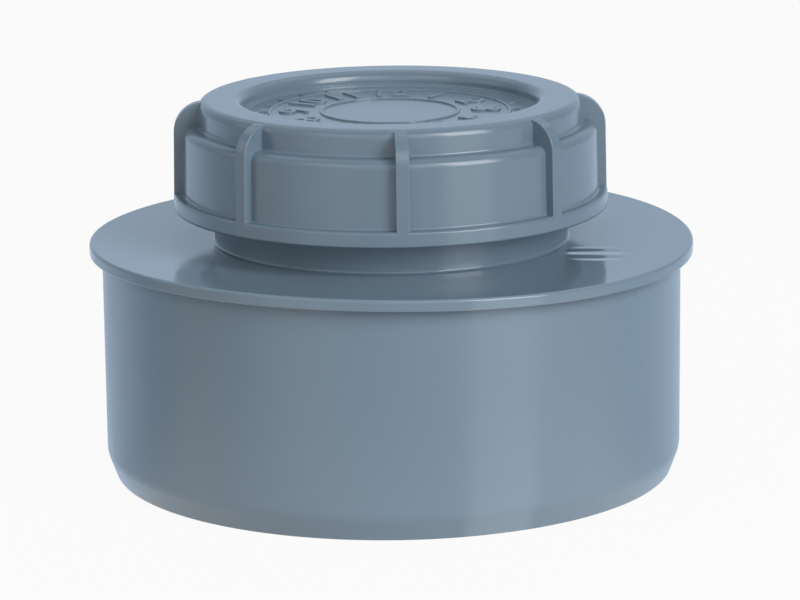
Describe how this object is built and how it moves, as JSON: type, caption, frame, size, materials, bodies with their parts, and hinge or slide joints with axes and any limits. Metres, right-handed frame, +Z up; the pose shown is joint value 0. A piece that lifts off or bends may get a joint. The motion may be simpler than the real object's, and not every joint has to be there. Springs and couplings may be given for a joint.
{
  "type": "pipe end cap",
  "caption": "Push-in end plug for a drain pipe: a spigot with a wide flange and a short threaded neck, closed by a ribbed screw cap over a flat seal ring.",
  "frame": {"origin": "centre of the spigot's open end, at the height that the part rests on", "axes": "+Z up the pipe's axis, from the open end towards the screw cap; -Y is the side that faces the camera"},
  "size_m": [0.094, 0.094, 0.0585],
  "materials": {
    "body_plastic": "moulded, satin gloss",
    "cap_plastic": "moulded, satin gloss",
    "seal_rubber": "smooth rubber"
  },
  "bodies": {
    "fitting": {"body": "body_plastic"},
    "seal": {"seal_ring": "seal_rubber"},
    "cap": {"screw_cap": "cap_plastic"}
  },
  "joints": [
    {"name": "cap_lift", "type": "slide", "parent": "fitting", "child": "seal", "axis": [0, 0, 1], "range_m": [0, 0.0045]},
    {"name": "cap_turn", "type": "hinge", "parent": "seal", "child": "cap", "pos_m": [0, 0, 0.0416], "axis": [0, 0, 1], "range_deg": [0, 405]}
  ],
  "couplings": [
    {"joint": "cap_lift", "follows": "cap_turn", "m_per_rad": 0.00063661}
  ]
}
